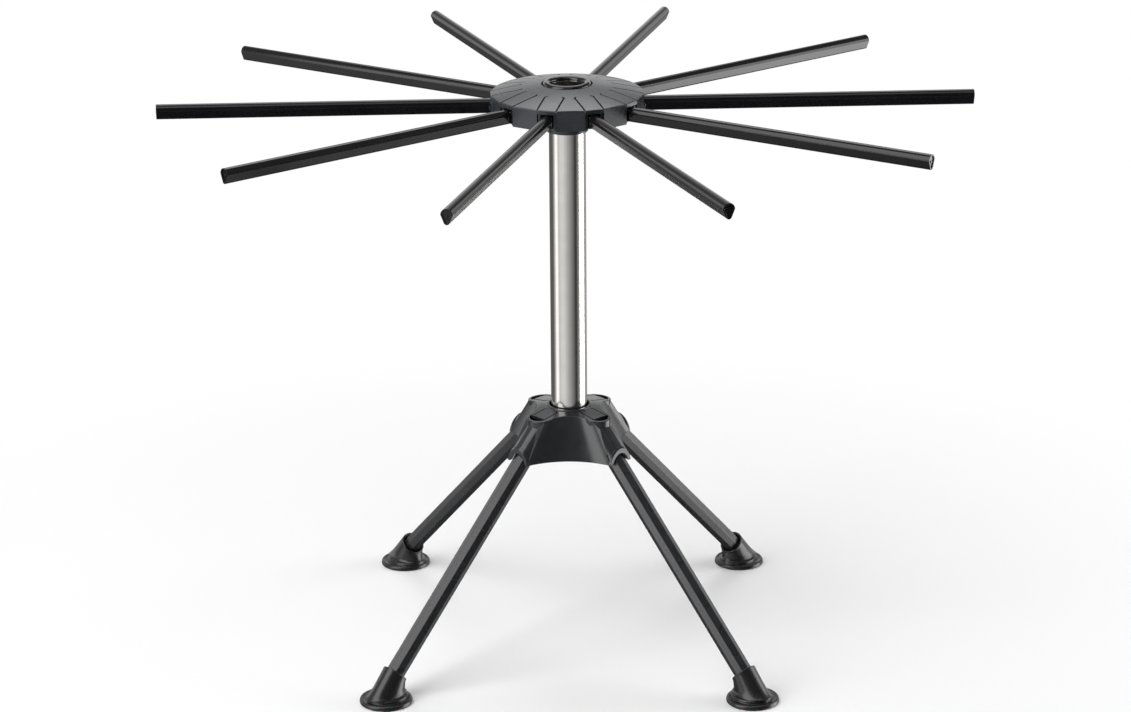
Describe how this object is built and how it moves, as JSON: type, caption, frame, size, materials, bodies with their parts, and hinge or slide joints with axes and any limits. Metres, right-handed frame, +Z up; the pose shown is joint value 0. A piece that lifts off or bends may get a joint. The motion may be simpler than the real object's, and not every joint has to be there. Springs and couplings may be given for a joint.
{
  "type": "pasta drying rack",
  "caption": "Folding table rack: slim straight arms hinged round a low domed hub on a steel tube, over splayed hinged legs with round rubber feet.",
  "frame": {"origin": "on the table, under the axis of the tube", "axes": "+Z up along the tube; +X along the longest pair of arms, 3.3 degrees off arm_01; the legs stand at 45 degrees between +X and +Y"},
  "size_m": [0.4196, 0.4078, 0.304],
  "materials": {
    "hub_plastic": "satin charcoal with a very fine grain",
    "housing_plastic": "smooth semi-gloss charcoal",
    "leg_plastic": "satin charcoal",
    "inner_plastic": "plain moulded black",
    "arm_plastic": "polished black",
    "ring_plastic": "polished black",
    "foot_rubber": "slightly glossy black",
    "tube_steel": "polished stainless steel",
    "screw_steel": "zinc plated",
    "pin_steel": "ground"
  },
  "bodies": {
    "stand": {"hub_cover": "hub_plastic", "hub_base": "hub_plastic", "centre_ring": "ring_plastic", "hub_screws": "screw_steel", "arm_pins": "pin_steel", "tube": "tube_steel", "tube_plug": "inner_plastic", "tube_screw": "screw_steel", "leg_housing": "housing_plastic", "leg_frame": "inner_plastic", "housing_screws": "screw_steel", "leg_pins": "pin_steel"},
    "arm_01": {"arm_01": "arm_plastic"},
    "arm_02": {"arm_02": "arm_plastic"},
    "arm_03": {"arm_03": "arm_plastic"},
    "arm_04": {"arm_04": "arm_plastic"},
    "arm_05": {"arm_05": "arm_plastic"},
    "arm_06": {"arm_06": "arm_plastic"},
    "arm_07": {"arm_07": "arm_plastic"},
    "arm_08": {"arm_08": "arm_plastic"},
    "arm_09": {"arm_09": "arm_plastic"},
    "arm_10": {"arm_10": "arm_plastic"},
    "leg_1": {"leg_1": "leg_plastic", "foot_1": "foot_rubber"},
    "leg_2": {"leg_2": "leg_plastic", "foot_2": "foot_rubber"},
    "leg_3": {"leg_3": "leg_plastic", "foot_3": "foot_rubber"},
    "leg_4": {"leg_4": "leg_plastic", "foot_4": "foot_rubber"}
  },
  "joints": [
    {"name": "arm_01_fold", "type": "hinge", "parent": "stand", "child": "arm_01", "pos_m": [0.03644, 0.0021, 0.29181], "axis": [-0.0576, 0.9983, 0], "range_deg": [0, 90]},
    {"name": "arm_02_fold", "type": "hinge", "parent": "stand", "child": "arm_02", "pos_m": [0.02824, 0.02312, 0.29181], "axis": [-0.6334, 0.7738, 0], "range_deg": [0, 90]},
    {"name": "arm_03_fold", "type": "hinge", "parent": "stand", "child": "arm_03", "pos_m": [0.00926, 0.03531, 0.29181], "axis": [-0.9673, 0.2538, 0], "range_deg": [0, 90]},
    {"name": "arm_04_fold", "type": "hinge", "parent": "stand", "child": "arm_04", "pos_m": [-0.01326, 0.03401, 0.29181], "axis": [-0.9317, -0.3633, 0], "range_deg": [0, 90]},
    {"name": "arm_05_fold", "type": "hinge", "parent": "stand", "child": "arm_05", "pos_m": [-0.03071, 0.01972, 0.29181], "axis": [-0.5402, -0.8415, 0], "range_deg": [0, 90]},
    {"name": "arm_06_fold", "type": "hinge", "parent": "stand", "child": "arm_06", "pos_m": [-0.03644, -0.0021, 0.29181], "axis": [0.0576, -0.9983, 0], "range_deg": [0, 90]},
    {"name": "arm_07_fold", "type": "hinge", "parent": "stand", "child": "arm_07", "pos_m": [-0.02824, -0.02312, 0.29181], "axis": [0.6334, -0.7738, 0], "range_deg": [0, 90]},
    {"name": "arm_08_fold", "type": "hinge", "parent": "stand", "child": "arm_08", "pos_m": [-0.00926, -0.03531, 0.29181], "axis": [0.9673, -0.2538, 0], "range_deg": [0, 90]},
    {"name": "arm_09_fold", "type": "hinge", "parent": "stand", "child": "arm_09", "pos_m": [0.01326, -0.03401, 0.29181], "axis": [0.9317, 0.3633, 0], "range_deg": [0, 90]},
    {"name": "arm_10_fold", "type": "hinge", "parent": "stand", "child": "arm_10", "pos_m": [0.03071, -0.01972, 0.29181], "axis": [0.5402, 0.8415, 0], "range_deg": [0, 90]},
    {"name": "leg_1_fold", "type": "hinge", "parent": "stand", "child": "leg_1", "pos_m": [0.01626, 0.01626, 0.11731], "axis": [-0.7071, 0.7071, 0], "range_deg": [0, 45]},
    {"name": "leg_2_fold", "type": "hinge", "parent": "stand", "child": "leg_2", "pos_m": [-0.01626, 0.01626, 0.11731], "axis": [-0.7071, -0.7071, 0], "range_deg": [0, 45]},
    {"name": "leg_3_fold", "type": "hinge", "parent": "stand", "child": "leg_3", "pos_m": [-0.01626, -0.01626, 0.11731], "axis": [0.7071, -0.7071, 0], "range_deg": [0, 45]},
    {"name": "leg_4_fold", "type": "hinge", "parent": "stand", "child": "leg_4", "pos_m": [0.01626, -0.01626, 0.11731], "axis": [0.7071, 0.7071, 0], "range_deg": [0, 45]}
  ]
}
